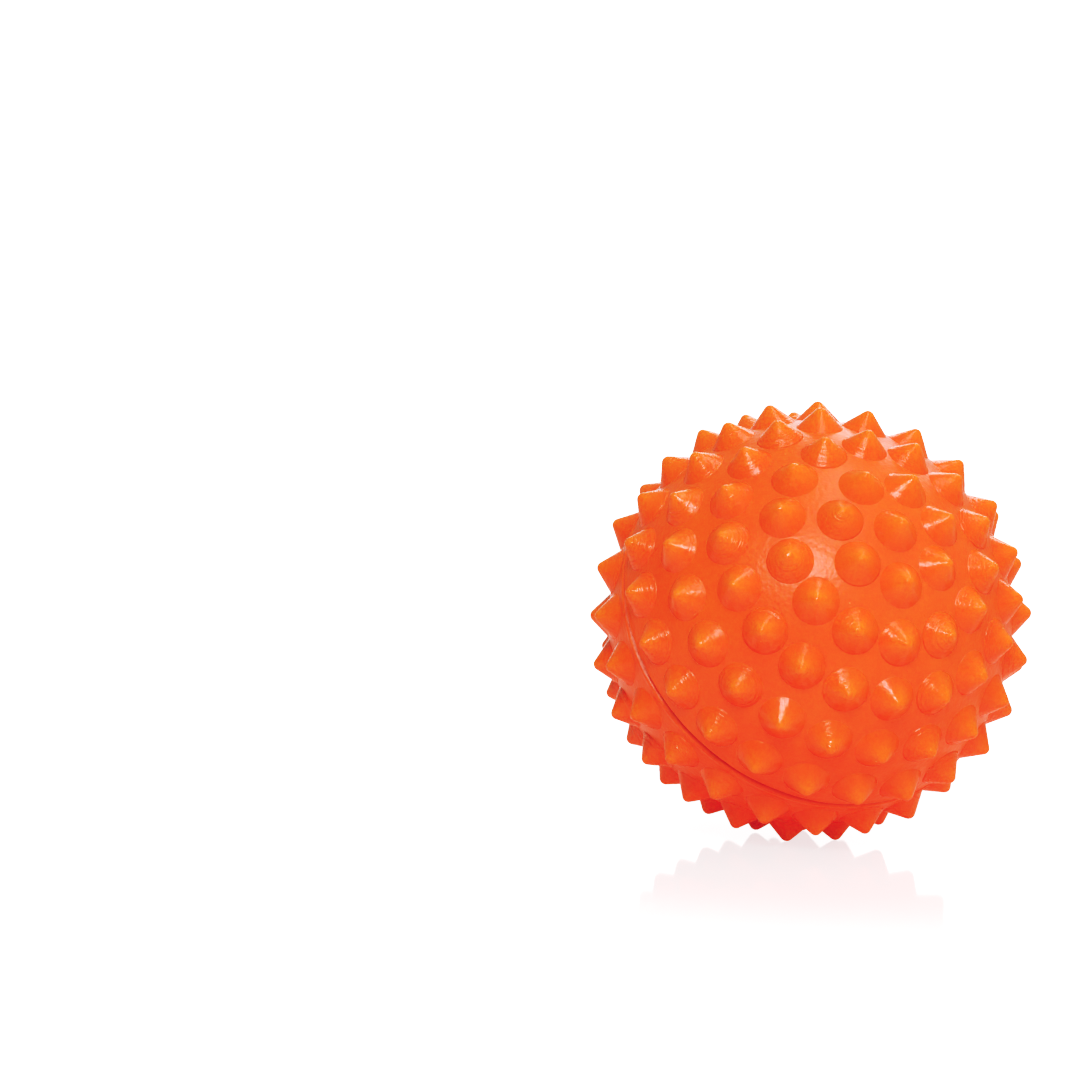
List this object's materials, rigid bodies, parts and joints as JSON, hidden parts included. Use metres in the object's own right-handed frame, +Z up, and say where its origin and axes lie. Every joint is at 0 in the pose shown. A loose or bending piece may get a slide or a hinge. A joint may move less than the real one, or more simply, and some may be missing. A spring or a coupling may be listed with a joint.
{
  "type": "massage ball",
  "caption": "Hollow spiky massage ball of two moulded half shells joined at a seam, with rings of blunt cone spikes and a pull-out air valve plug.",
  "frame": {"origin": "on the floor, straight under the ball's centre, where the ball lies on three neighbouring spike tips", "axes": "+Z up from the floor through the ball's centre; the seam's axis leans about 56 degrees from +Z, its front pole towards +X and -Y"},
  "size_m": [0.0897, 0.0895, 0.0888],
  "materials": {
    "orange_pvc": "glossy, slightly translucent PVC, tool rings on the spikes",
    "cement": "clear amber solvent cement",
    "soft_pvc": "soft satin PVC",
    "white_plastic": "smooth white polyethylene"
  },
  "bodies": {
    "ball": {"shell_front": "orange_pvc", "shell_rear": "orange_pvc", "seam_bead": "cement", "valve_seat": "soft_pvc"},
    "plug": {"valve_plug": "white_plastic"}
  },
  "joints": [
    {"name": "plug_pull", "type": "slide", "parent": "ball", "child": "plug", "axis": [-0.3874, 0.7378, -0.5527], "range_m": [0, 0.014]}
  ]
}
